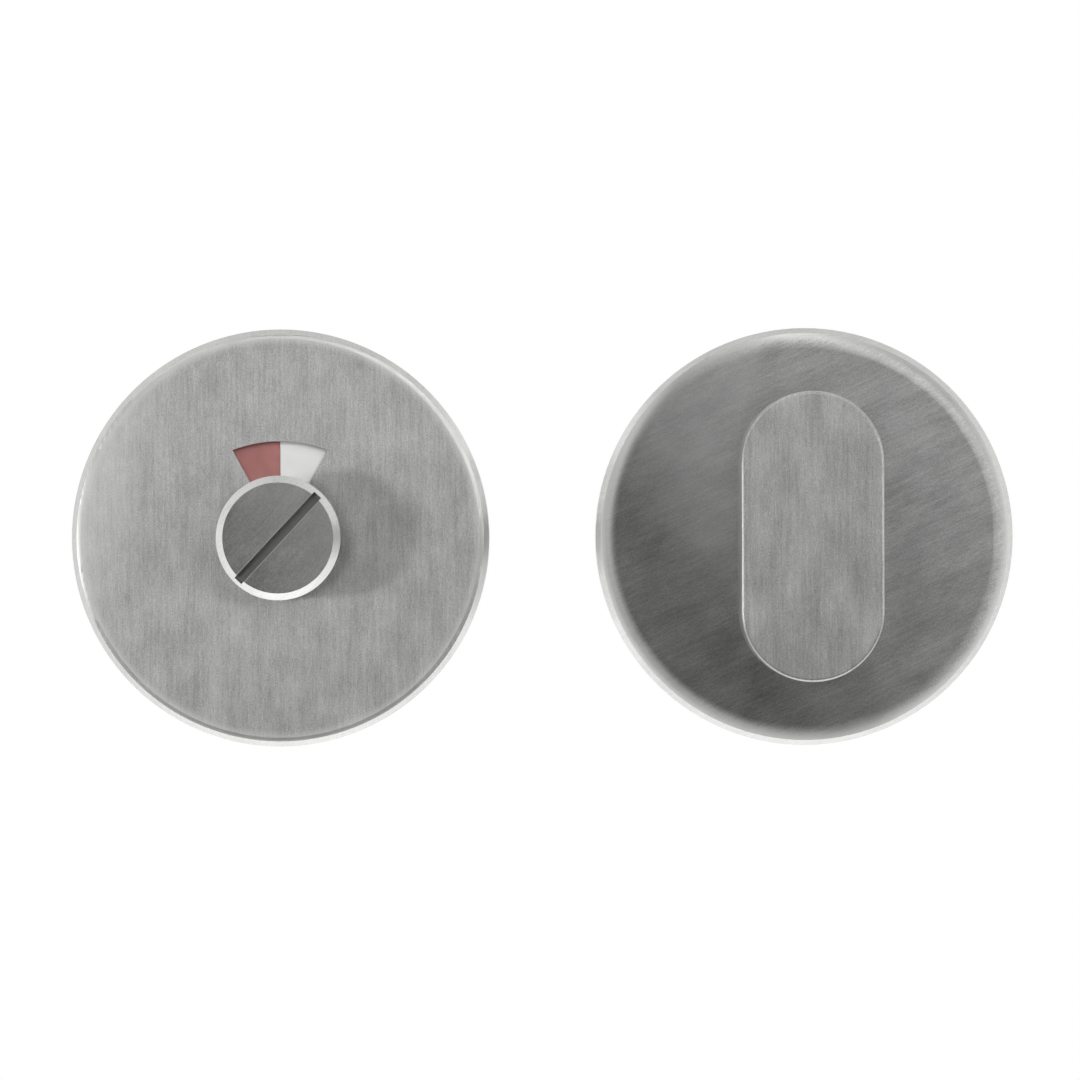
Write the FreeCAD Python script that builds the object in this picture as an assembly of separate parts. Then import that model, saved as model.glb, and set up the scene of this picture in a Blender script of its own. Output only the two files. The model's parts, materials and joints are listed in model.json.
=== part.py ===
import FreeCAD, Part
import math
import os

# A bathroom thumb turn lock: the thumb turn half and the release half, side by side on the door's plane.
# Each half is modelled about its own axis, with z from the door to the user, y up and x to the right,
# and is then turned to stand in the part's frame, where +Z is up and +Y goes into the door.
# Sizes are in millimetres and angles in degrees.

# Layout
axis_spacing = 65.3
quarter_turn = 90.0

# Rose covers
rose_diameter = 52.0
rose_height = 8.0
cover_wall = 1.2
cover_face = 1.2
cover_inner_bevel = 0.6
edge_bevel = 0.65
crown_tilt = 25.0
turn_crown_reach = 1.85
release_crown_reach = 0.5

# Spindle, and the stem that holds it
spindle_size = 5.0
spindle_length = 60.0
spindle_edge = 0.4
spindle_end_play = 0.3
socket_clearance = 0.1
stem_wall = 0.9
stem_recess = 0.4
key_depth = 0.7
key_clearance = 0.05

# Bush in the cover's hole
running_clearance = 0.05
bush_wall = 1.0
bush_press = 0.02
bush_flange_width = 0.7
bush_flange = 0.5

# Stack behind the cover's face: plate, spring washer and circlip, each with the end clearance between
end_clearance = 0.1
plate_gap = 0.15
plate_thickness = 1.0
washer_width = 3.0
washer_clearance = 0.3
washer_sheet = 0.4
washer_height = 1.0
clip_thickness = 1.0
clip_groove_depth = 0.3
clip_side_clearance = 0.05
clip_width = 1.7
clip_end_width = 1.0
clip_gap_angle = 46.0
clip_ear_radius = 1.15
clip_ear_hole = 0.5
clip_ear_trim = 0.35

# Quarter-turn stop
stop_pin_diameter = 2.0
stop_slot_clearance = 0.2
stop_slot_edge = 1.6
stop_pin_reach = 0.3

# Thumb turn
grip_length = 35.2
grip_width = 17.3
grip_thickness = 10.0
grip_edge_round = 0.4
neck_diameter = 13.0
neck_length = 7.4
neck_root_round = 0.8
turn_socket_depth = 13.6
grub_diameter = 4.0
grub_clearance = 0.05
grub_height = 12.0
grub_recess = 0.6
grub_hex = 2.0
grub_hex_depth = 1.6

# Release knob
knob_diameter = 15.4
knob_thickness = 4.9
knob_chamfer = 0.85
knob_under_chamfer = 0.25
coin_slot_length = 14.5
coin_slot_width = 1.15
coin_slot_depth = 2.0
coin_slot_angle = 47.0
release_socket_depth = 9.4

# Indicator and its window
window_half_angle = 28.3
window_reach = 12.45
window_arc_radius = 16.5
window_land = 1.5
indicator_overlap = 1.0
red_span = 86.0
red_pocket_depth = 0.45
red_sheet = 0.15
red_margin = 0.5
red_clearance = 0.05

# Under-rose
base_clearance = 0.3
base_headroom = 0.4
base_floor = 1.6
base_web = 1.6
base_outer_wall = 1.8
base_inner_wall = 1.6
base_rib = 1.2
base_hole_clearance = 1.0
pocket_clearance = 0.8
rib_angle = 21.0
finger_angle = 13.0
finger_slit = 0.9
finger_lift = 0.3
snap_height = 1.8
snap_width = 1.4
snap_bite = 0.25
snap_clearance = 0.12

# Fixings
screw_diameter = 4.0
screw_length = 40.0
screw_hole_clearance = 0.25
screw_head_diameter = 7.5
screw_head_height = 2.4
screw_head_round = 0.9
screw_recess_width = 1.0
screw_recess_span = 4.4
screw_recess_depth = 1.3
screw_plain_diameter = 3.5
screw_run_out = 1.4
screw_seat = 1.4
seat_clearance = 0.25
seat_edge = 1.5
boss_wall = 1.2
sleeve_diameter = 6.4
sleeve_length = 16.0
sleeve_hole_clearance = 0.1
sleeve_head_height = 1.6
sleeve_thread_core = 3.3
sleeve_thread_depth = 14.0
sleeve_slot_width = 1.0
sleeve_slot_depth = 0.8

# Room that a cutting tool reaches past what it cuts
past = 1.0

# Radii that the pieces share
rose_radius = rose_diameter / 2
cover_inner_radius = rose_radius - cover_wall
socket_size = spindle_size + 2 * socket_clearance
stem_radius = socket_size / math.sqrt(2) + stem_wall
key_flat = stem_radius - key_depth
bush_bore_radius = stem_radius + running_clearance
bush_radius = bush_bore_radius + bush_wall
cover_hole_radius = bush_radius + bush_press
window_inner_radius = cover_hole_radius + window_land
indicator_radius = window_reach + indicator_overlap
stop_slot_width = stop_pin_diameter + 2 * stop_slot_clearance
stop_radius = indicator_radius - stop_slot_edge - stop_slot_width / 2
stop_angle = -90.0
base_radius = cover_inner_radius - base_clearance
seat_radius = screw_head_diameter / 2 + seat_clearance
screw_offset = base_radius - seat_edge - seat_radius
snap_radius = cover_inner_radius + snap_bite
neck_radius = neck_diameter / 2

# Levels, counted from the door
inner_face = rose_height - cover_face
plate_front = inner_face - plate_gap
plate_back = plate_front - plate_thickness
washer_front = plate_back - end_clearance
washer_back = washer_front - washer_height
clip_front = washer_back - end_clearance
clip_back = clip_front - clip_thickness
clip_groove_radius = stem_radius - clip_groove_depth
base_top = inner_face - base_headroom
web_back = base_top - base_web
shoulder = rose_height + bush_flange + end_clearance
grip_back = shoulder + neck_length
grip_front = grip_back + grip_thickness
knob_front = shoulder + knob_thickness

origin = FreeCAD.Vector(0, 0, 0)
to_user = FreeCAD.Vector(0, 0, 1)


def polar(radius, degrees):
    angle = math.radians(degrees)
    return FreeCAD.Vector(radius * math.cos(angle), radius * math.sin(angle), 0)


def arc(start, middle, end):
    return Part.Arc(start, middle, end).toShape()


def prism(edges, low, high):
    face = Part.Face(Part.Wire(edges))
    face.translate(to_user * low)
    return face.extrude(to_user * (high - low))


def cylinder(radius, low, high, centre=origin):
    return Part.makeCylinder(radius, high - low, centre + to_user * low)


def tube(outer, inner, low, high, centre=origin):
    return cylinder(outer, low, high, centre).cut(cylinder(inner, low, high, centre))


def bar(length, width, low, high, centre=origin):
    corner = centre + FreeCAD.Vector(-length / 2, -width / 2, low)
    return Part.makeBox(length, width, high - low, corner)


def turned(shape, degrees):
    copy = shape.copy()
    copy.rotate(origin, to_user, degrees)
    return copy


def ring_sector(inner, outer, first, last, low, high):
    middle = (first + last) / 2
    edges = [
        arc(polar(outer, first), polar(outer, middle), polar(outer, last)),
        Part.makeLine(polar(outer, last), polar(inner, last)),
        arc(polar(inner, last), polar(inner, middle), polar(inner, first)),
        Part.makeLine(polar(inner, first), polar(outer, first)),
    ]
    return prism(edges, low, high)


def arc_slot(radius, width, first, last, low, high):
    outer = radius + width / 2
    inner = radius - width / 2
    middle = (first + last) / 2
    last_cap = polar(radius, last) + polar(width / 2, last + 90)
    first_cap = polar(radius, first) + polar(width / 2, first - 90)
    edges = [
        arc(polar(outer, first), polar(outer, middle), polar(outer, last)),
        arc(polar(outer, last), last_cap, polar(inner, last)),
        arc(polar(inner, last), polar(inner, middle), polar(inner, first)),
        arc(polar(inner, first), first_cap, polar(outer, first)),
    ]
    return prism(edges, low, high)


def double_flat(radius, flat, low, high):
    return cylinder(radius, low, high).common(bar(2 * radius, 2 * flat, low, high))


def level_edges(shape, level):
    close = 1e-6
    return [
        edge
        for edge in shape.Edges
        if abs(edge.BoundBox.ZMin - level) < close and abs(edge.BoundBox.ZMax - level) < close
    ]


def circles(shape, radius, level):
    close = 1e-6
    return [
        edge
        for edge in level_edges(shape, level)
        if isinstance(edge.Curve, Part.Circle) and abs(edge.Curve.Radius - radius) < close
    ]


def screw_places():
    return [FreeCAD.Vector(side * screw_offset, 0, 0) for side in (-1, 1)]


# Rose covers


def cover_shell(crown_reach):
    # The face bends down over the crown to the bevel at its edge
    bevel_radius = rose_radius - edge_bevel
    face_radius = bevel_radius - crown_reach
    tilt = math.radians(crown_tilt)
    crown_radius = crown_reach / math.sin(tilt)
    crown_drop = crown_radius * (1 - math.cos(tilt))
    half_reach = crown_radius * math.sin(tilt / 2)
    half_drop = crown_radius * (1 - math.cos(tilt / 2))
    bevel_top = rose_height - crown_drop
    outer_foot = FreeCAD.Vector(rose_radius, 0, 0)
    outer_top = FreeCAD.Vector(rose_radius, 0, bevel_top - edge_bevel)
    bevel_end = FreeCAD.Vector(bevel_radius, 0, bevel_top)
    crown_middle = FreeCAD.Vector(face_radius + half_reach, 0, rose_height - half_drop)
    face_edge = FreeCAD.Vector(face_radius, 0, rose_height)
    face_centre = to_user * rose_height
    edges = [
        Part.makeLine(origin, outer_foot),
        Part.makeLine(outer_foot, outer_top),
        Part.makeLine(outer_top, bevel_end),
        arc(bevel_end, crown_middle, face_edge),
        Part.makeLine(face_edge, face_centre),
        Part.makeLine(face_centre, origin),
    ]
    return Part.Face(Part.Wire(edges)).revolve(origin, to_user, 360)


def cover(crown_reach):
    hollow = cylinder(cover_inner_radius, -past, inner_face)
    hollow = hollow.makeChamfer(cover_inner_bevel, circles(hollow, cover_inner_radius, inner_face))
    groove_low = snap_height - snap_width / 2 - snap_clearance
    groove_high = snap_height + snap_width / 2 + snap_clearance
    groove = cylinder(snap_radius + snap_clearance, groove_low, groove_high)
    hole = cylinder(cover_hole_radius, 0, rose_height + past)
    return cover_shell(crown_reach).cut(hollow).cut(groove).cut(hole)


def window():
    left = polar(window_reach, 90 + window_half_angle)
    right = polar(window_reach, 90 - window_half_angle)
    half_chord = right.x
    rise = window_arc_radius - math.sqrt(window_arc_radius**2 - half_chord**2)
    top = FreeCAD.Vector(0, right.y + rise, 0)
    inner_left = polar(window_inner_radius, 90 + window_half_angle)
    inner_right = polar(window_inner_radius, 90 - window_half_angle)
    edges = [
        arc(right, top, left),
        Part.makeLine(left, inner_left),
        arc(inner_left, polar(window_inner_radius, 90), inner_right),
        Part.makeLine(inner_right, right),
    ]
    return prism(edges, 0, rose_height + past)


def bush():
    sleeve = cylinder(bush_radius, inner_face, rose_height)
    flange = cylinder(bush_radius + bush_flange_width, rose_height, rose_height + bush_flange)
    bore = cylinder(bush_bore_radius, 0, rose_height + bush_flange + past)
    return sleeve.fuse(flange).cut(bore).removeSplitter()


# Turning pieces


def stem():
    keyed = double_flat(stem_radius, key_flat, stem_recess, plate_front)
    journal = cylinder(stem_radius, plate_front, shoulder)
    groove_low = clip_back - clip_side_clearance
    groove_high = clip_front + clip_side_clearance
    groove = tube(stem_radius + past, clip_groove_radius, groove_low, groove_high)
    return keyed.fuse(journal).cut(groove)


def socket(depth):
    return bar(socket_size, socket_size, stem_recess - past, stem_recess + depth)


def oblong(length, width, low, high):
    end_radius = width / 2
    straight = length / 2 - end_radius
    signs = ((1, -1), (1, 1), (-1, 1), (-1, -1))
    corners = [FreeCAD.Vector(x * end_radius, y * straight, 0) for x, y in signs]
    edges = [
        Part.makeLine(corners[0], corners[1]),
        arc(corners[1], FreeCAD.Vector(0, length / 2, 0), corners[2]),
        Part.makeLine(corners[2], corners[3]),
        arc(corners[3], FreeCAD.Vector(0, -length / 2, 0), corners[0]),
    ]
    return prism(edges, low, high)


def turn_grip():
    grip = oblong(grip_length, grip_width, grip_back, grip_front)
    rims = level_edges(grip, grip_front) + level_edges(grip, grip_back)
    grip = grip.makeFillet(grip_edge_round, rims)
    neck = cylinder(neck_radius, shoulder, grip_back)
    body = grip.fuse(neck)
    body = body.makeFillet(neck_root_round, circles(body, neck_radius, grip_back))
    hole = Part.makeCylinder(
        grub_diameter / 2 + grub_clearance,
        neck_radius + past,
        FreeCAD.Vector(0, 0, grub_height),
        FreeCAD.Vector(0, -1, 0),
    )
    return body.fuse(stem()).cut(socket(turn_socket_depth)).cut(hole).removeSplitter()


def grub_screw():
    tip = spindle_size / 2 + socket_clearance / 2
    outer_end = neck_radius - grub_recess
    screw = cylinder(grub_diameter / 2, tip, outer_end)
    corner_radius = grub_hex / math.sqrt(3)
    corners = [polar(corner_radius, 60 * k) for k in range(7)]
    sides = [Part.makeLine(corners[k], corners[k + 1]) for k in range(6)]
    screw = screw.cut(prism(sides, outer_end - grub_hex_depth, outer_end + past))
    screw.rotate(origin, FreeCAD.Vector(1, 0, 0), 90)
    screw.translate(to_user * grub_height)
    return screw


def spindle():
    inner_end = stem_recess + turn_socket_depth - spindle_end_play
    square = bar(spindle_size, spindle_size, inner_end - spindle_length, inner_end)
    ends = level_edges(square, inner_end) + level_edges(square, inner_end - spindle_length)
    return square.makeChamfer(spindle_edge, ends)


def release_knob():
    head = cylinder(knob_diameter / 2, shoulder, knob_front)
    head = head.makeChamfer(knob_chamfer, circles(head, knob_diameter / 2, knob_front))
    head = head.makeChamfer(knob_under_chamfer, circles(head, knob_diameter / 2, shoulder))
    slot_floor = knob_front - coin_slot_depth
    coin_slot = bar(coin_slot_length, coin_slot_width, slot_floor, knob_front + past)
    knob = head.cut(coin_slot).fuse(stem()).cut(socket(release_socket_depth)).removeSplitter()
    return turned(knob, coin_slot_angle)


def keyed_plate(key_angle, slot_first, slot_last):
    plate = cylinder(indicator_radius, plate_back, plate_front)
    key = double_flat(stem_radius + key_clearance, key_flat + key_clearance, plate_back, plate_front)
    slot = arc_slot(stop_radius, stop_slot_width, slot_first, slot_last, plate_back, plate_front)
    return plate.cut(turned(key, key_angle)).cut(slot)


def turn_stop_plate():
    return keyed_plate(0, stop_angle - quarter_turn, stop_angle)


def indicator_disc():
    white_travel = quarter_turn - coin_slot_angle
    disc = keyed_plate(coin_slot_angle, stop_angle - white_travel, stop_angle + coin_slot_angle)
    return disc.cut(red_sector(red_margin, 0, plate_front - red_pocket_depth, plate_front))


def red_sector(margin, side_clearance, low, high):
    inner = window_inner_radius - margin
    outer = window_reach + margin
    first = 90 + math.degrees(side_clearance / inner)
    last = 90 + red_span - math.degrees(side_clearance / inner)
    return ring_sector(inner, outer, first, last, low, high)


def indicator_red():
    low = plate_front - red_pocket_depth
    return red_sector(red_margin - red_clearance, red_clearance, low, low + red_sheet)


def spring_washer():
    inner = stem_radius + washer_clearance
    outer = inner + washer_width
    bow = washer_height - washer_sheet
    bend = (outer**2 + bow**2) / (2 * bow)
    across = FreeCAD.Vector(1, 0, 0)
    start = FreeCAD.Vector(-outer - past, 0, washer_front - bend - washer_sheet)
    length = 2 * (outer + past)
    sheet = Part.makeCylinder(bend + washer_sheet, length, start, across)
    sheet = sheet.cut(Part.makeCylinder(bend, length, start, across))
    return sheet.common(tube(outer, inner, washer_back, washer_front))


def circlip():
    inner = clip_groove_radius + clip_side_clearance
    lean = (clip_width - clip_end_width) / 2
    outer = inner + (clip_width + clip_end_width) / 2
    ear_side = clip_ear_radius - clip_ear_trim
    ear_reach = inner + ear_side
    ear_turn = clip_gap_angle / 2 + math.degrees(math.asin(ear_side / ear_reach))
    ear_places = [polar(ear_reach, -90 + side * ear_turn) for side in (-1, 1)]
    ring = cylinder(outer, clip_back, clip_front, FreeCAD.Vector(0, lean, 0))
    for place in ear_places:
        ring = ring.fuse(cylinder(clip_ear_radius, clip_back, clip_front, place))
    for place in ear_places:
        ring = ring.cut(cylinder(clip_ear_hole, clip_back - past, clip_front + past, place))
    gap_first = -90 - clip_gap_angle / 2
    gap_last = -90 + clip_gap_angle / 2
    gap_reach = outer + 2 * clip_ear_radius
    gap = ring_sector(inner / 2, gap_reach, gap_first, gap_last, clip_back - past, clip_front + past)
    bore = cylinder(inner, clip_back - past, clip_front + past)
    return ring.cut(gap).cut(bore).removeSplitter()


def stop_pin():
    place = polar(stop_radius, stop_angle)
    return cylinder(stop_pin_diameter / 2, plate_back - stop_pin_reach, inner_face, place)


# Under-rose: a moulded dish, cored from the door side, with ribs, screw bosses and four snap fingers


def snap_bead():
    half = snap_width / 2
    root = base_radius - base_outer_wall / 2
    crest = half / 2
    points = [
        FreeCAD.Vector(root, 0, snap_height - half),
        FreeCAD.Vector(base_radius, 0, snap_height - half),
        FreeCAD.Vector(snap_radius, 0, snap_height - crest),
        FreeCAD.Vector(snap_radius, 0, snap_height + crest),
        FreeCAD.Vector(base_radius, 0, snap_height + half),
        FreeCAD.Vector(root, 0, snap_height + half),
    ]
    face = Part.Face(Part.makePolygon(points + points[:1]))
    half_span = finger_angle - math.degrees(finger_slit / 2 / root)
    return turned(face.revolve(origin, to_user, 2 * half_span), -half_span)


def base(hole_radius):
    pocket_radius = indicator_radius + pocket_clearance
    inner_wall_radius = pocket_radius + base_inner_wall
    rim_radius = base_radius - base_outer_wall
    finger_angles = [45 + quarter * 90 for quarter in range(4)]
    rib_angles = [angle + side * rib_angle for angle in finger_angles for side in (-1, 1)] + [90, 270]

    dish = tube(base_radius, rim_radius, 0, base_top).fuse(cylinder(inner_wall_radius, 0, base_top))
    dish = dish.fuse(cylinder(base_radius, web_back, base_top))
    span = rim_radius - inner_wall_radius + base_inner_wall / 2 + base_outer_wall / 2
    middle = (rim_radius + inner_wall_radius) / 2
    for angle in rib_angles:
        rib = bar(span, base_rib, 0, base_top, FreeCAD.Vector(middle, 0, 0))
        dish = dish.fuse(turned(rib, angle))
    for place in screw_places():
        boss = cylinder(seat_radius + boss_wall, 0, base_top, place)
        dish = dish.fuse(boss.common(cylinder(base_radius, 0, base_top)))

    dish = dish.cut(cylinder(pocket_radius, base_floor, base_top + past))
    dish = dish.cut(cylinder(stem_radius + base_hole_clearance, -past, base_top))
    for place in screw_places():
        dish = dish.cut(cylinder(hole_radius, -past, base_top, place))
        dish = dish.cut(cylinder(seat_radius, screw_seat, base_top + past, place))

    slit_inner = rim_radius - base_outer_wall / 2
    slit_outer = base_radius + past
    slit_length = slit_outer - slit_inner
    slit_place = FreeCAD.Vector((slit_inner + slit_outer) / 2, 0, 0)
    slit = bar(slit_length, finger_slit, -past, web_back, slit_place)
    foot = ring_sector(slit_inner, slit_outer, -finger_angle, finger_angle, -past, finger_lift)
    for angle in finger_angles:
        for side in (-1, 1):
            dish = dish.cut(turned(slit, angle + side * finger_angle))
        dish = dish.cut(turned(foot, angle)).fuse(turned(snap_bead(), angle))
    return dish.removeSplitter()


# Fixings


def fixing_screws():
    screws = []
    head_radius = screw_head_diameter / 2
    head_top = screw_seat + screw_head_height
    recess_floor = head_top - screw_recess_depth
    recess = bar(screw_recess_span, screw_recess_width, recess_floor, head_top + past)
    for place in screw_places():
        head = cylinder(head_radius, screw_seat, head_top, place)
        head = head.makeFillet(screw_head_round, circles(head, head_radius, head_top))
        for angle in (45, 135):
            cross = turned(recess, angle)
            cross.translate(place)
            head = head.cut(cross)
        thread_top = screw_seat - screw_run_out
        plain = cylinder(screw_plain_diameter / 2, thread_top, screw_seat, place)
        thread = cylinder(screw_diameter / 2, screw_seat - screw_length, thread_top, place)
        screws.append(head.fuse(plain).fuse(thread).removeSplitter())
    return Part.makeCompound(screws)


def sleeve_nuts():
    nuts = []
    head_top = screw_seat + sleeve_head_height
    slot_floor = head_top - sleeve_slot_depth
    slot_length = screw_head_diameter + past
    end = screw_seat - sleeve_length
    for place in screw_places():
        head = cylinder(screw_head_diameter / 2, screw_seat, head_top, place)
        driver_slot = bar(slot_length, sleeve_slot_width, slot_floor, head_top + past, place)
        barrel = cylinder(sleeve_diameter / 2, end, screw_seat, place)
        bore = cylinder(sleeve_thread_core / 2, end - past, end + sleeve_thread_depth, place)
        nuts.append(head.cut(driver_slot).fuse(barrel).cut(bore).removeSplitter())
    return Part.makeCompound(nuts)


turn_half = {
    "turn_cover": cover(turn_crown_reach),
    "turn_bush": bush(),
    "turn_grip": turn_grip(),
    "turn_grub_screw": grub_screw(),
    "turn_stop_plate": turn_stop_plate(),
    "turn_stop_pin": stop_pin(),
    "turn_spring_washer": spring_washer(),
    "turn_circlip": circlip(),
    "turn_base": base(screw_diameter / 2 + screw_hole_clearance),
    "fixing_screws": fixing_screws(),
    "spindle": spindle(),
}

release_half = {
    "release_cover": cover(release_crown_reach).cut(window()),
    "release_bush": bush(),
    "release_knob": release_knob(),
    "indicator_disc": indicator_disc(),
    "indicator_red": indicator_red(),
    "release_stop_pin": stop_pin(),
    "release_spring_washer": turned(spring_washer(), coin_slot_angle),
    "release_circlip": turned(circlip(), coin_slot_angle),
    "release_base": base(sleeve_diameter / 2 + sleeve_hole_clearance),
    "sleeve_nuts": sleeve_nuts(),
}

# Export, in the part's frame

os.makedirs("parts", exist_ok=True)
for pieces, axis_x in ((turn_half, 0), (release_half, -axis_spacing)):
    for name, shape in pieces.items():
        shape.rotate(origin, FreeCAD.Vector(1, 0, 0), 90)
        shape.translate(FreeCAD.Vector(axis_x, 0, 0))
        shape.exportStep(f"parts/{name}.step")
        print(name, len(shape.Solids), shape.isValid(), round(shape.Volume, 2))
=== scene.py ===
import json
import math
import bmesh
import bpy
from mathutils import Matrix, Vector


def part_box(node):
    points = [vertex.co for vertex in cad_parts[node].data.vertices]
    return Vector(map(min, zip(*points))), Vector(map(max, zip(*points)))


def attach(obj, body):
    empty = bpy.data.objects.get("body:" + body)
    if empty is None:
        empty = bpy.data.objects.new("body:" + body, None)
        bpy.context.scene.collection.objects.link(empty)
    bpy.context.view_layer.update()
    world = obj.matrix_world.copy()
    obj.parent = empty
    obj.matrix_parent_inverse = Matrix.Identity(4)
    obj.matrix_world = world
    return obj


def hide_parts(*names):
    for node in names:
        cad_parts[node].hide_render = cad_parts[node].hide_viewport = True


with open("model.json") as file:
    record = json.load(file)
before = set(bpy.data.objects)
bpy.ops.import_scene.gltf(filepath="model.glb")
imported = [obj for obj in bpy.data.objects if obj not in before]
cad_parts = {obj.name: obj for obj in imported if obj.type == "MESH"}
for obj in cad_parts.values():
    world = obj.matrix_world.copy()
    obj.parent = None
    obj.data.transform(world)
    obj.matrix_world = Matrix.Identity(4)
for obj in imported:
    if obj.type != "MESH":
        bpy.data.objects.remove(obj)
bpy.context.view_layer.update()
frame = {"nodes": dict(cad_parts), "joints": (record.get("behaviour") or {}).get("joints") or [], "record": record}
cadNodes = frame["nodes"]
axisPoint = {joint["child"]: Vector(joint["pos_m"]) for joint in frame["joints"]}
turnAxis = axisPoint["thumb_turn"]
releaseAxis = axisPoint["release_turn"]
middle = (releaseAxis + turnAxis) / 2
mm = 0.001
print("frame loaded:", len(cadNodes), "nodes")


# shader sockets that take plain arithmetic
class Signal:
    def __init__(self, tree, socket):
        self.tree = tree
        self.socket = socket

    def calc(self, operation, other=0.0, swapped=False):
        maths = self.tree.nodes.new("ShaderNodeMath")
        maths.operation = operation
        mine, theirs = (maths.inputs[1], maths.inputs[0]) if swapped else (maths.inputs[0], maths.inputs[1])
        self.tree.links.new(self.socket, mine)
        if isinstance(other, Signal):
            self.tree.links.new(other.socket, theirs)
        else:
            theirs.default_value = other
        return Signal(self.tree, maths.outputs[0])

    def within(self, low, high):
        return self.calc("MAXIMUM", low).calc("MINIMUM", high)

    def __add__(self, other):
        return self.calc("ADD", other)

    def __sub__(self, other):
        return self.calc("SUBTRACT", other)

    def __rsub__(self, other):
        return self.calc("SUBTRACT", other, swapped=True)

    def __mul__(self, other):
        return self.calc("MULTIPLY", other)

    __radd__ = __add__
    __rmul__ = __mul__


noiseMiddle = 0.5


class Finish:
    def __init__(self, tree):
        self.tree = tree
        self.tree.nodes.clear()

    def add(self, kind, settings=None, sockets=None, output=0):
        made = self.tree.nodes.new(kind)
        for name, value in (settings or {}).items():
            if name == "stops":
                ramp = made.color_ramp.elements
                while len(ramp) < len(value):
                    ramp.new(1.0)
                for stop, (place, colour) in zip(ramp, value):
                    stop.position = place
                    stop.color = colour
            else:
                setattr(made, name, value)
        for name, value in (sockets or {}).items():
            if isinstance(value, Signal):
                self.tree.links.new(value.socket, made.inputs[name])
            else:
                made.inputs[name].default_value = value
        return Signal(self.tree, made.outputs[output]) if made.outputs else None

    def place(self, size=(1, 1, 1), turn=0.0, centre=(0, 0, 0)):  # object coordinates
        coords = self.add("ShaderNodeTexCoord", output="Object")
        sockets = {"Vector": coords, "Location": centre, "Rotation": (0, turn, 0), "Scale": size}
        return self.add("ShaderNodeMapping", {"vector_type": "TEXTURE"}, sockets)

    def axis(self, vector, name):
        return self.add("ShaderNodeSeparateXYZ", None, {0: vector}, name)

    def length(self, vector):
        return self.add("ShaderNodeVectorMath", {"operation": "LENGTH"}, {0: vector}, "Value")

    def noise(self, vector, detail, distortion=0.0):  # about zero
        sockets = {"Vector": vector, "Scale": 1.0, "Detail": detail, "Distortion": distortion}
        return self.add("ShaderNodeTexNoise", None, sockets) - noiseMiddle

    def spread(self, value, low, high):  # smooth step from low to high
        sockets = {"Value": value, "From Min": low, "From Max": high}
        return self.add("ShaderNodeMapRange", {"interpolation_type": "SMOOTHSTEP"}, sockets)

    def between(self, factor, first, second):  # colours
        sockets = {"Factor": factor, 6: first, 7: second}
        return self.add("ShaderNodeMix", {"data_type": "RGBA"}, sockets, output=2)

    def shaded(self, tone, colour, contrast):  # from a darker to a lighter shade of one colour
        shades = [(*(channel * factor for channel in colour), 1) for factor in (1 - contrast, 1 + contrast)]
        return self.between(tone, *shades)

    def bump(self, look, height):
        sockets = {"Strength": look["bump"], "Distance": look["bumpDepth"], "Height": height}
        return self.add("ShaderNodeBump", None, sockets)

    def ray(self, kind):
        return self.add("ShaderNodeLightPath", output=kind)


def newFinish(name):
    material = bpy.data.materials.new(name)
    material.use_nodes = True
    return material, Finish(material.node_tree)


def closeFinish(finish, sockets):
    shader = finish.add("ShaderNodeBsdfPrincipled", None, sockets)
    finish.add("ShaderNodeOutputMaterial", None, {"Surface": shader})


# line-brushed stainless steel, with the grain at an angle from the level and a smoother turned edge; its colour
# also carries painted highlights and painted shade
depthless = 1e6  # size along Y that takes the depth out of a distance


def axisOf(look):
    return (look["axis"].x, 0, look["axis"].z)


def outward(finish, look):  # distance from the piece's turning axis
    return finish.length(finish.place((1, depthless, 1), 0.0, axisOf(look)))


def behindFace(finish, look, shares):  # from one share of the rounded edge's depth to another
    depth = finish.axis(finish.place(), "Y")
    return finish.spread(depth, *(look["faceLevel"] + share * look["edgeDepth"] for share in shares))


def roundEdge(finish, look):
    radius, blend = look["edgeRadius"], look["edgeBlend"]
    return finish.spread(outward(finish, look), radius - blend, radius + blend)


def oblongEdge(finish, look):
    return behindFace(finish, look, look["edgeShares"])


def paintedSideLight(finish, look, patch, tone, colour):  # painted highlight or painted shade towards one side
    turned = finish.place(turn=math.radians(90 - patch["angle"]), centre=axisOf(look))
    share = finish.spread(finish.axis(turned, "Z"), patch["start"], patch["end"]) * patch["share"]
    if "beyond" in patch:
        crown = patch["beyond"]
        share = share * finish.spread(outward(finish, look), crown, crown + patch["fade"])
    return finish.between(share, colour, finish.shaded(tone, patch["colour"], patch["contrast"]))


# painted shade on the coin slot's floor, and a painted highlight line along each of its edges
def coinSlot(finish, look, turn, colour):
    inSlot = finish.place(turn=turn, centre=axisOf(look))
    across = finish.axis(inSlot, "X").calc("ABSOLUTE")
    side, blend = look["slotWidth"] / 2, look["slotBlend"]
    lineEnd = side + look["slotGlintLine"]
    inside = 1 - finish.spread(across, side - blend, side + blend)
    start, end = (look["faceLevel"] + depth for depth in look["slotDepths"])
    below = finish.spread(finish.axis(inSlot, "Y"), start, end)
    started = finish.spread(across, side, side + look["slotGlintStart"])
    beside = started - finish.spread(across, lineEnd, lineEnd + look["slotGlintFade"])
    glinted = finish.between(beside * (1 - below), colour, (*look["slotGlintColour"], 1))
    return finish.between(inside * below, glinted, (*look["slotShadeColour"], 1))


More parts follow.
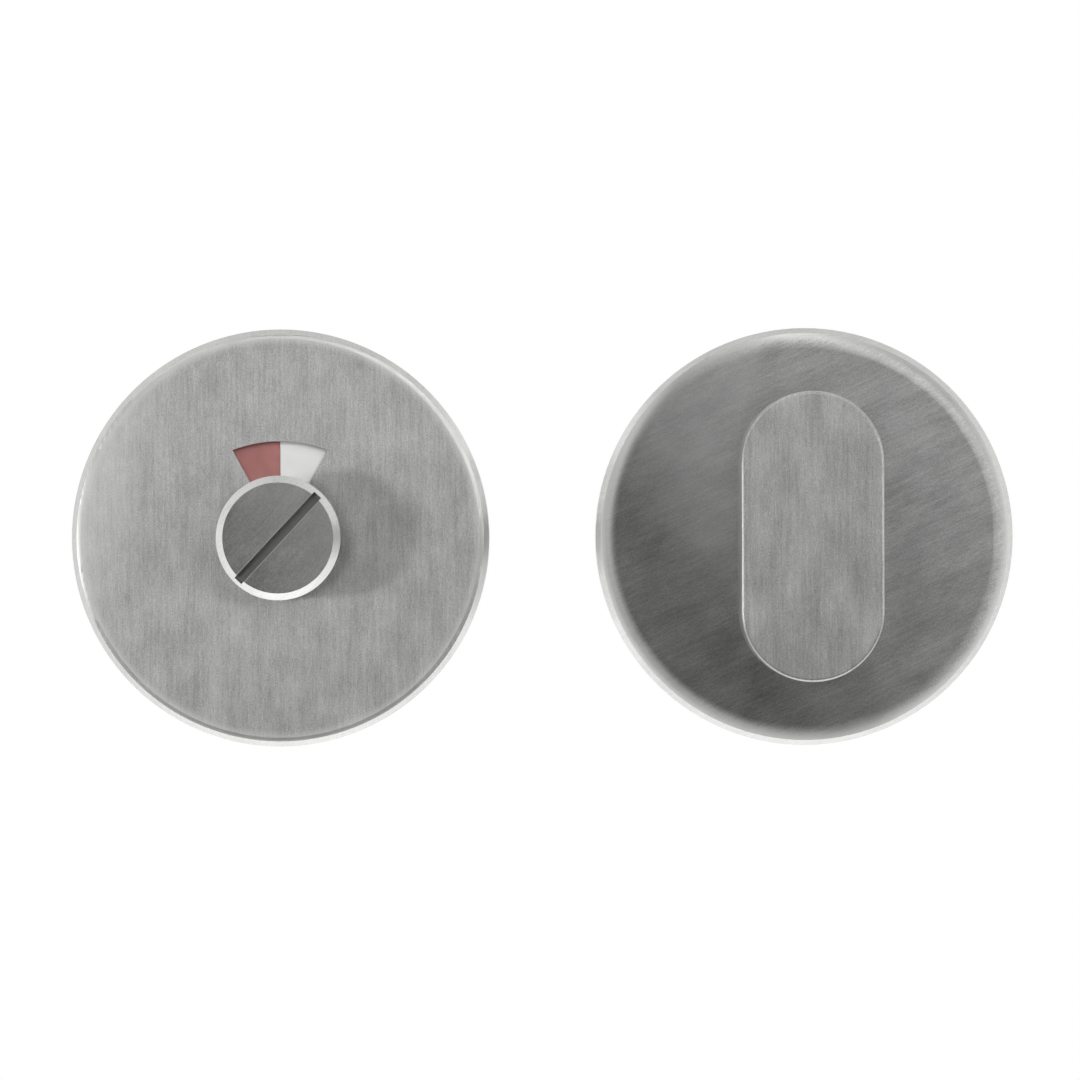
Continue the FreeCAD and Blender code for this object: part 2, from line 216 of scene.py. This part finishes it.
def brushedSteel(name, look):
    material, finish = newFinish(name)
    turn = math.radians(90 - look["grainAngle"])
    grains = look["grains"]
    swing = {
        grain: finish.noise(finish.place(marks["size"], turn), marks["detail"])
        for grain, marks in grains.items()
    }
    tone = sum((swing[grain] * marks["share"] for grain, marks in grains.items()), noiseMiddle)
    fineShare, coarseShare = look["streakShares"]
    streak = swing["fine"] * fineShare + swing["coarse"] * coarseShare
    colour = finish.shaded(tone, look["colour"], look["contrast"])
    # painted highlights and painted shade laid over the brushed colour
    for patch in look.get("paintedFaceLights", ()):
        colour = paintedSideLight(finish, look, patch, tone, colour)
    # painted shade in the coin slot and painted highlights along its edges
    if "slotWidth" in look:
        colour = coinSlot(finish, look, turn, colour)
    if "rimSheenReach" in look:  # painted highlight, brighter towards the rim
        rim = look["edgeRadius"]
        rimSheen = finish.spread(outward(finish, look), rim - look["rimSheenReach"], rim) * look["rimSheenShare"]
        colour = finish.between(rimSheen, colour, (*look["rimSheenColour"], 1))
    face = finish.add("ShaderNodeBsdfPrincipled", None, {
        "Metallic": 1.0,
        "Anisotropic": look["anisotropy"],
        "Anisotropic Rotation": look["grainAngle"] / 360 + 1 / 4,  # in turns
        "Base Color": colour,
        "Roughness": look["roughness"] + streak * look["roughSwing"] + swing["cloud"] * look["cloudSwing"],
        "Normal": finish.bump(look, streak),
    })
    edgeColour = finish.shaded(tone, look["edgeColour"], look["edgeContrast"])
    # painted highlight on the rim's side that faces the other rose
    if "paintedEdgeLight" in look:
        edgeColour = paintedSideLight(finish, look, look["paintedEdgeLight"], tone, edgeColour)
    if "wallColour" in look:
        wallColour = finish.shaded(tone, look["wallColour"], look["edgeContrast"])
        edgeColour = finish.between(behindFace(finish, look, look["wallShares"]), edgeColour, wallColour)
    edge = finish.add("ShaderNodeBsdfPrincipled", None, {
        "Metallic": 1.0,
        "Base Color": edgeColour,
        "Roughness": look["edgeRoughness"] + swing["fine"] * look["roughSwing"],
    })
    whole = finish.add("ShaderNodeMixShader", None, {0: look["edge"](finish, look), 1: face, 2: edge})
    finish.add("ShaderNodeOutputMaterial", None, {"Surface": whole})
    return material


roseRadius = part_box("turn_cover")[1][0] - turnAxis.x
# light steel colour of the painted highlights
highlightSteel = (0.93, 0.93, 0.92)
brushedLook = {
    "colour": (0.62, 0.62, 0.61),
    "contrast": 0.3,
    "roughness": 0.46,
    "roughSwing": 0.12,
    "cloudSwing": 0.10,
    "anisotropy": 0.8,
    "bump": 0.25,
    "bumpDepth": 0.01 * mm,
    "edgeRoughness": 0.3,
    "edgeContrast": 0.12,
    "grains": {
        "fine": {"size": (0.17 * mm, 0.5 * mm, 1.0 * mm), "detail": 2.0, "share": 0.85},
        "coarse": {"size": (0.3 * mm, 1.5 * mm, 6.0 * mm), "detail": 3.0, "share": 0.75},
        "speck": {"size": (0.17 * mm, 0.17 * mm, 0.2 * mm), "detail": 1.0, "share": 1.2},
        "cloud": {"size": (3.0 * mm, 4.0 * mm, 5.0 * mm), "detail": 2.0, "share": 0.9},
    },
    "streakShares": (0.6, 0.4),  # fine and coarse grain
}
coverEdge = {
    "edge": roundEdge,
    "edgeRadius": roseRadius - 0.65 * mm,
    "edgeBlend": 0.04 * mm,
    "edgeColour": (0.48, 0.48, 0.47),
    # painted highlight along the rim
    "rimSheenReach": 1.5 * mm,
    "rimSheenShare": 0.9,
    "rimSheenColour": highlightSteel,
}
knobEdge = {
    "edge": roundEdge,
    "edgeRadius": 6.85 * mm,
    "edgeBlend": 0.04 * mm,
    "edgeColour": (0.55, 0.55, 0.54),
}
gripEdge = {
    "edge": oblongEdge,
    "faceLevel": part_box("turn_grip")[0][1],
    "edgeDepth": 0.4 * mm,
    "edgeShares": (0.0, 0.6),
    "edgeColour": (0.3, 0.3, 0.29),
    "wallShares": (0.9, 1.3),
    "wallColour": (0.46, 0.46, 0.45),
}
slotLook = {
    "faceLevel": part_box("release_knob")[0][1],
    "slotWidth": 1.15 * mm,
    "slotBlend": 0.03 * mm,
    "slotDepths": (0.05 * mm, 0.4 * mm),
    # painted shade on the slot floor, and painted highlight lines along its edges
    "slotShadeColour": (0.52, 0.52, 0.51),
    "slotGlintStart": 0.04 * mm,
    "slotGlintLine": 0.1 * mm,
    "slotGlintFade": 0.08 * mm,
    "slotGlintColour": (0.78, 0.78, 0.77),
}
# patches of painted highlight and painted shade face an angle from the level and grow from start to end, measured
# that way from the axis
paintedHighlight = {"colour": highlightSteel, "contrast": 0.05}
paintedShade = {"colour": (0.42, 0.42, 0.41), "contrast": 0.4}
crownHighlight = {**paintedHighlight, "beyond": 23.4 * mm, "fade": 1.2 * mm}
facingRimHighlight = {**paintedHighlight, "start": 18.0 * mm, "end": roseRadius, "share": 0.3}
steelLooks = {
    "release_cover": {
        **brushedLook,
        **coverEdge,
        "axis": releaseAxis,
        "grainAngle": 90,
        # painted highlight towards the left of the face
        "paintedFaceLights": [{**paintedHighlight, "angle": 165, "start": 15.5 * mm, "end": roseRadius, "share": 0.6}],
        # painted highlight on the rim's side towards the thumb turn rose
        "paintedEdgeLight": {**facingRimHighlight, "angle": 0},
    },
    "turn_cover": {
        **brushedLook,
        **coverEdge,
        "axis": turnAxis,
        "grainAngle": 25,
        # painted highlight along the rim
        "rimSheenReach": 1.1 * mm,
        "rimSheenShare": 0.95,
        # painted highlight beside the grip, painted shade towards the lower left, and a painted highlight on the
        # crown there
        "paintedFaceLights": [
            {**paintedHighlight, "angle": 170, "start": 7.0 * mm, "end": 11.0 * mm, "share": 0.4},
            {**paintedShade, "angle": 215, "start": 6.0 * mm, "end": 17.0 * mm, "share": 0.85},
            {**crownHighlight, "angle": 215, "start": -15.0 * mm, "end": 15.0 * mm, "share": 0.85},
        ],
        # painted highlight on the rim's side towards the release rose
        "paintedEdgeLight": {**facingRimHighlight, "angle": 180},
    },
    "turn_grip": {**brushedLook, **gripEdge, "grainAngle": 90, "colour": (0.545, 0.545, 0.535)},
    "release_knob": {
        **brushedLook,
        **knobEdge,
        **slotLook,
        "axis": releaseAxis,
        "grainAngle": 47,
        "colour": (0.5, 0.5, 0.49),
        "anisotropy": 0.6,
        # painted highlight towards the upper right of the knob's face
        "paintedFaceLights": [{**paintedHighlight, "angle": 45, "start": -7.0 * mm, "end": 7.0 * mm, "share": 0.5}],
    },
}


# moulded or sheet plastic with a fine dull skin
def plastic(name, look):
    material, finish = newFinish(name)
    skin = finish.noise(finish.place((look["skin"],) * 3), look["skinDetail"])
    patch = finish.noise(finish.place((look["patch"],) * 3), look["patchDetail"])
    tone = finish.spread(patch, -look["patchReach"], look["patchReach"])
    closeFinish(finish, {
        "Metallic": 0.0,
        "Base Color": finish.shaded(tone, look["colour"], look["contrast"]),
        "Roughness": look["roughness"] + skin * look["roughSwing"],
        "Normal": finish.bump(look, skin),
    })
    return material


plasticLook = {
    "skin": 0.12 * mm,
    "skinDetail": 3.0,
    "patch": 2.5 * mm,
    "patchDetail": 2.0,
    "patchReach": 0.2,
    "contrast": 0.05,
    "roughness": 0.5,
    "roughSwing": 0.15,
    "bump": 0.2,
    "bumpDepth": 0.02 * mm,
}
plasticLooks = {
    "base_plastic": {**plasticLook, "colour": (0.05, 0.05, 0.054), "bump": 0.45},
    "bush_plastic": {**plasticLook, "colour": (0.035, 0.035, 0.036)},
    "indicator_white": {**plasticLook, "colour": (0.78, 0.78, 0.77), "roughness": 0.42, "contrast": 0.02},
    "indicator_red": {**plasticLook, "colour": (0.42, 0.18, 0.17), "roughness": 0.6, "contrast": 0.08},
}


# plated, rolled or blackened steel of the hidden pieces
def plainSteel(name, look):
    material, finish = newFinish(name)
    patch = finish.noise(finish.place((look["patch"],) * 3), look["patchDetail"], look["patchDistortion"])
    scuff = finish.noise(finish.place(look["scuff"]), look["scuffDetail"])
    tone = finish.spread(patch, -look["patchReach"], look["patchReach"])
    closeFinish(finish, {
        "Metallic": 1.0,
        "Base Color": finish.between(tone, (*look["colour"], 1), (*look["tint"], 1)),
        "Roughness": look["roughness"] + patch * look["patchSwing"] + scuff * look["scuffSwing"],
        "Normal": finish.bump(look, scuff),
    })
    return material


plainLook = {
    "patch": 1.4 * mm,
    "patchDetail": 4.0,
    "patchDistortion": 0.4,
    "patchReach": 0.15,
    "patchSwing": 0.2,
    "scuff": (0.15 * mm, 0.9 * mm, 0.15 * mm),
    "scuffDetail": 2.0,
    "scuffSwing": 0.12,
    "bump": 0.15,
    "bumpDepth": 0.01 * mm,
}
plainLooks = {
    "plated_steel": {
        **plainLook,
        "colour": (0.46, 0.46, 0.47),
        "tint": (0.40, 0.39, 0.35),
        "roughness": 0.3,
    },
    "spring_steel": {
        **plainLook,
        "colour": (0.34, 0.34, 0.34),
        "tint": (0.28, 0.28, 0.27),
        "roughness": 0.36,
    },
    "black_steel": {
        **plainLook,
        "colour": (0.06, 0.06, 0.065),
        "tint": (0.09, 0.085, 0.08),
        "roughness": 0.42,
    },
}

slotOf = {row["node"]: row["material_slot"] for row in frame["record"]["subparts"]}
slotFinish = {slot: plastic(slot, look) for slot, look in plasticLooks.items()}
slotFinish.update({slot: plainSteel(slot, look) for slot, look in plainLooks.items()})
pieceFinish = {piece: brushedSteel(piece + "_steel", look) for piece, look in steelLooks.items()}
for name, part in cadNodes.items():
    part.data.materials.clear()
    part.data.materials.append(pieceFinish.get(name) or slotFinish[slotOf[name]])
print("finishes set:", len(slotFinish) + len(pieceFinish))


# fixing screws: a machine thread wound in place of the plain shanks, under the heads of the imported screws
boltMount = next(mount for mount in frame["record"]["mounts"] if mount["name"] == "turn_bolts")
threadStart = -0.25 * mm
threadLook = {
    "Pitch": 0.7 * mm,
    "Crest Radius": boltMount["dims"]["stud_r_mm"] * mm,
    "Core Radius": 1.6 * mm,
    "Start": threadStart,
    "Length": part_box("fixing_screws")[1][1] - threadStart,
    "Spacing": boltMount["dims"]["pcd_mm"] * mm,
    "Screws": boltMount["dims"]["count"],
    "Lead In": 0.92,
    "Steps Round": 28,
    "Steps Along": 6,
}
screwLook = {
    "finish": "plated_steel",
    "crestEdge": 1 / 12,  # in pitches from the middle of the crest
    "rootEdge": 5 / 12,
    "lapsBefore": 1.5,  # wound ahead of the start, where they lie flat in the end face
    "lapsSpare": 2,
    "weld": 0.005 * mm,
    "neckCut": -0.15 * mm,
    "neckWeld": 0.001 * mm,
    "sharpAngle": 32,
}


def threadTree():
    tree = bpy.data.node_groups.new("machine_thread", "GeometryNodeTree")
    wire = Finish(tree)
    tree.interface.new_socket("Geometry", in_out="OUTPUT", socket_type="NodeSocketGeometry")
    kinds = {float: "NodeSocketFloat", int: "NodeSocketInt"}
    laps = math.ceil(threadLook["Length"] / threadLook["Pitch"] + screwLook["lapsSpare"])
    sizes = {**threadLook, "Rows": threadLook["Steps Along"] * laps}
    identifiers = {}
    for name, value in sizes.items():
        socket = tree.interface.new_socket(name, in_out="INPUT", socket_type=kinds[type(value)])
        identifiers[name] = socket.identifier
    given = {name: wire.add("NodeGroupInput", output=name) for name in sizes}
    grid = wire.add("GeometryNodeMeshGrid", None, {
        "Size X": 1.0,
        "Size Y": 1.0,
        "Vertices X": given["Steps Round"] + 1,
        "Vertices Y": given["Rows"] + 1,
    })
    half = 0.5  # the grid reaches half a unit each way, and a lap half a pitch from its crest
    spot = wire.add("GeometryNodeInputPosition")
    turn = wire.axis(spot, "X") + half
    row = (wire.axis(spot, "Y") + half) * given["Rows"]
    lap = row.calc("ROUND").calc("DIVIDE", given["Steps Along"])
    along = ((lap + turn - screwLook["lapsBefore"]) * given["Pitch"]).within(0.0, given["Length"])
    crestEdge, rootEdge = screwLook["crestEdge"], screwLook["rootEdge"]
    offCrest = (lap - crestEdge).calc("PINGPONG", half)  # each row of the grid is one line of the flank
    rise = ((rootEdge - offCrest) * (1 / (rootEdge - crestEdge))).within(0.0, 1.0)
    flank = given["Core Radius"] + (given["Crest Radius"] - given["Core Radius"]) * rise
    fromEnd = along.calc("MINIMUM", given["Length"] - along)
    chamfer = given["Core Radius"] * given["Lead In"] + fromEnd
    notFirst = row.calc("GREATER_THAN", half)
    notLast = (given["Rows"] - row).calc("GREATER_THAN", half)
    radius = flank.calc("MINIMUM", chamfer) * notFirst * notLast  # closes both ends
    angle = turn * math.tau
    wound = wire.add("ShaderNodeCombineXYZ", None, {
        "X": angle.calc("SINE") * radius,
        "Y": along + given["Start"],
        "Z": angle.calc("COSINE") * radius,
    })
    skin = wire.add("GeometryNodeSetPosition", None, {"Geometry": grid, "Position": wound})
    closed = wire.add("GeometryNodeMergeByDistance", None, {"Geometry": skin, "Distance": screwLook["weld"]})
    first = wire.add("ShaderNodeCombineXYZ", None, {"X": given["Spacing"] * -half})
    step = wire.add("ShaderNodeCombineXYZ", None, {"X": given["Spacing"]})
    pair = wire.add("GeometryNodeMeshLine", None, {
        "Count": given["Screws"],
        "Start Location": first,
        "Offset": step,
    })
    placed = wire.add("GeometryNodeInstanceOnPoints", None, {"Points": pair, "Instance": closed})
    real = wire.add("GeometryNodeRealizeInstances", None, {"Geometry": placed})
    coat = slotFinish[screwLook["finish"]]
    coated = wire.add("GeometryNodeSetMaterial", None, {"Geometry": real, "Material": coat})
    wire.add("NodeGroupOutput", None, {"Geometry": coated})
    return tree, {identifiers[name]: value for name, value in sizes.items()}


def threadedScrews():
    tree, values = threadTree()
    former = bpy.data.objects.new("thread_former", bpy.data.meshes.new("thread_former"))
    bpy.context.scene.collection.objects.link(former)
    winding = former.modifiers.new("thread", "NODES")
    winding.node_group = tree
    for identifier, value in values.items():
        winding[identifier] = value
    shanks = bpy.data.meshes.new_from_object(former.evaluated_get(bpy.context.evaluated_depsgraph_get()))
    former.modifiers.remove(winding)
    bpy.data.objects.remove(former)

    shape = bmesh.new()
    shape.from_mesh(cadNodes["fixing_screws"].data)
    bmesh.ops.remove_doubles(shape, verts=shape.verts, dist=screwLook["neckWeld"])
    everything = list(shape.verts) + list(shape.edges) + list(shape.faces)
    neck = (0, screwLook["neckCut"], 0)
    bmesh.ops.bisect_plane(shape, geom=everything, plane_co=neck, plane_no=(0, 1, 0), clear_outer=True)
    bmesh.ops.holes_fill(shape, edges=[edge for edge in shape.edges if edge.is_boundary])
    shape.from_mesh(shanks)
    bmesh.ops.recalc_face_normals(shape, faces=shape.faces)
    mesh = bpy.data.meshes.new("threaded_screws")
    shape.to_mesh(mesh)
    shape.free()
    bpy.data.meshes.remove(shanks)
    mesh.materials.clear()
    mesh.materials.append(slotFinish[screwLook["finish"]])
    mesh.shade_smooth()
    mesh.set_sharp_from_angle(angle=math.radians(screwLook["sharpAngle"]))
    screws = bpy.data.objects.new("threaded_screws", mesh)
    bpy.context.scene.collection.objects.link(screws)
    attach(screws, "roses")
    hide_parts("fixing_screws")
    print("screws threaded:", len(mesh.polygons), "faces")


threadedScrews()


# stage: a small pale floor, a surround that is darker on the camera's side, and lamps
floorLook = {
    "level": -0.1,
    "radius": 0.24,
    "sides": 96,
    "plain": 0.4,  # share of the radius before it fades out
    "colour": (0.8, 0.8, 0.8, 1),
    "roughness": 0.8,
    "glow": 0.4,
}
white = (1, 1, 1, 1)


def paleFloor():
    radius = floorLook["radius"]
    spot = (middle.x, middle.y, floorLook["level"])
    bpy.ops.mesh.primitive_circle_add(
        vertices=floorLook["sides"], radius=radius, fill_type="NGON", location=spot
    )
    floor = bpy.context.object
    floor.name = "floor"
    material, finish = newFinish("floor_paint")
    fade = finish.spread(finish.length(finish.place()), floorLook["plain"] * radius, radius)
    unseen = finish.ray("Is Glossy Ray").calc("MAXIMUM", finish.ray("Is Shadow Ray"))
    paint = finish.add("ShaderNodeBsdfPrincipled", None, {
        "Base Color": floorLook["colour"],
        "Roughness": floorLook["roughness"],
        "Emission Color": white,
        "Emission Strength": floorLook["glow"],
    })
    gone = finish.add("ShaderNodeBsdfTransparent")
    mixed = finish.add("ShaderNodeMixShader", None, {0: fade.calc("MAXIMUM", unseen), 1: paint, 2: gone})
    finish.add("ShaderNodeOutputMaterial", None, {"Surface": mixed})
    floor.data.materials.append(material)


# brightness of the surround by the angle from the camera's side, towards four sides
surroundAngles = (0, 12, 30, 55, 85, 120, 150)
surroundLook = {
    "right": (0.0, 0.0, 0.0, 0.05, 1.45, 1.3, 1.0),
    "up": (0.0, 0.0, 0.0, 0.05, 0.95, 1.8, 1.0),
    "left": (0.0, 0.0, 0.12, 0.45, 1.65, 0.6, 1.0),
    "down": (0.0, 0.0, 0.0, 0.5, 2.0, 1.6, 1.0),
}
backdropAngles = (110, 130)  # where metal begins to show the white backdrop, and shows all of it
halfTurn = 180
leastSquare = 1e-6  # keeps the shares of the four sides finite straight ahead and behind


def surround():
    world = bpy.data.worlds.new("surround")
    bpy.context.scene.world = world
    world.use_nodes = True
    finish = Finish(world.node_tree)
    direction = finish.add("ShaderNodeTexCoord", output="Generated")
    x, y, z = (finish.axis(direction, name) for name in "XYZ")
    angle = (y * -1).calc("ARCCOSINE") * (1 / math.pi)
    across = (x * x + z * z).calc("MAXIMUM", leastSquare)
    towards = {"right": x, "up": z, "left": x * -1, "down": z * -1}
    level = None
    for side, levels in surroundLook.items():
        stops = [(step / halfTurn, (*[value] * 3, 1)) for step, value in zip(surroundAngles, levels)]
        ramp = finish.add("ShaderNodeValToRGB", {"stops": stops}, {"Fac": angle})
        facing = towards[side].calc("MAXIMUM", 0.0)
        part = (facing * facing).calc("DIVIDE", across) * ramp
        level = part if level is None else level + part
    behind = finish.spread(angle, *(step / halfTurn for step in backdropAngles))
    mirrored = finish.ray("Is Glossy Ray") + finish.ray("Is Transmission Ray")
    backdrop = finish.ray("Is Camera Ray") + mirrored * behind
    strength = level + backdrop * (1 - level)
    glow = finish.add("ShaderNodeBackground", None, {"Color": white, "Strength": strength})
    finish.add("ShaderNodeOutputWorld", None, {"Surface": glow})


# three of the lamps stand close before the thumb turn, and the fill lamp isn't mirrored in the steel
lampLooks = {
    "left_lamp": {
        "place": (-0.659, -0.33, -0.042),
        "aim": releaseAxis,
        "size": (0.075, 0.075),
        "power": 0.73,
    },
    "right_lamp": {
        "place": (0.529, -0.33, 0.0),
        "aim": releaseAxis,
        "size": (0.09, 0.09),
        "power": 0.22,
    },
    "near_lamp": {
        "place": (-0.228, -0.567, 0.0),
        "aim": middle,
        "size": (0.16, 0.1),
        "power": 0.1,
    },
    "key_lamp": {
        "place": (-0.327, -0.432, 0.295),
        "aim": middle,
        "size": (0.1, 0.1),
        "power": 0.1,
    },
    "upper_lamp": {
        "place": (0.147, -0.544, 0.179),
        "aim": middle,
        "size": (0.15, 0.15),
        "power": 0.24,
    },
    "side_lamp": {
        "place": (0.291, -0.492, 0.118),
        "aim": middle,
        "size": (0.15, 0.15),
        "power": 0.25,
    },
    "crown_lamp": {
        "place": (0.008, -0.118, 0.092),
        "aim": turnAxis,
        "size": (0.018, 0.018),
        "power": 0.0115,
    },
    "corner_lamp": {
        "place": (-0.03, -0.118, 0.087),
        "aim": turnAxis,
        "size": (0.018, 0.018),
        "power": 0.0065,
    },
    "low_lamp": {
        "place": (0.089, -0.156, -0.127),
        "aim": turnAxis,
        "size": (0.026, 0.026),
        "power": 0.004,
    },
    "fill_lamp": {
        "place": (0.02, -0.6, 0.12),
        "aim": middle,
        "size": (0.2, 0.2),
        "power": 1.55,
        "shines": False,
    },
}


def lamp(name, look):
    light = bpy.data.lights.new(name, "AREA")
    light.shape = "RECTANGLE"
    light.size, light.size_y = look["size"]
    light.energy = look["power"]
    holder = bpy.data.objects.new(name, light)
    bpy.context.scene.collection.objects.link(holder)
    holder.location = look["place"]
    holder.rotation_euler = (look["aim"] - holder.location).to_track_quat("-Z", "Y").to_euler()
    holder.visible_glossy = look.get("shines", True)


paleFloor()
surround()
for lampName, lampLook in lampLooks.items():
    lamp(lampName, lampLook)
print("stage lit:", len(lampLooks), "lamps")


# camera, square on to the door's plane and about half way between the two axes
cameraLook = {
    "place": (-32.95 * mm, -594 * mm, -0.34 * mm),
    "lens": 156.9,
    "sensor": 36.0,
    "roll": 0.16,
    "nearest": 10 * mm,
}


def frontCamera():
    camera = bpy.data.cameras.new("front_camera")
    camera.lens = cameraLook["lens"]
    camera.sensor_width = cameraLook["sensor"]
    camera.clip_start = cameraLook["nearest"]
    holder = bpy.data.objects.new("front_camera", camera)
    bpy.context.scene.collection.objects.link(holder)
    holder.location = cameraLook["place"]
    holder.rotation_euler = (math.radians(90), math.radians(cameraLook["roll"]), 0)
    bpy.context.scene.camera = holder


frontCamera()
bpy.context.scene.view_settings.view_transform = "Standard"
print("camera set")
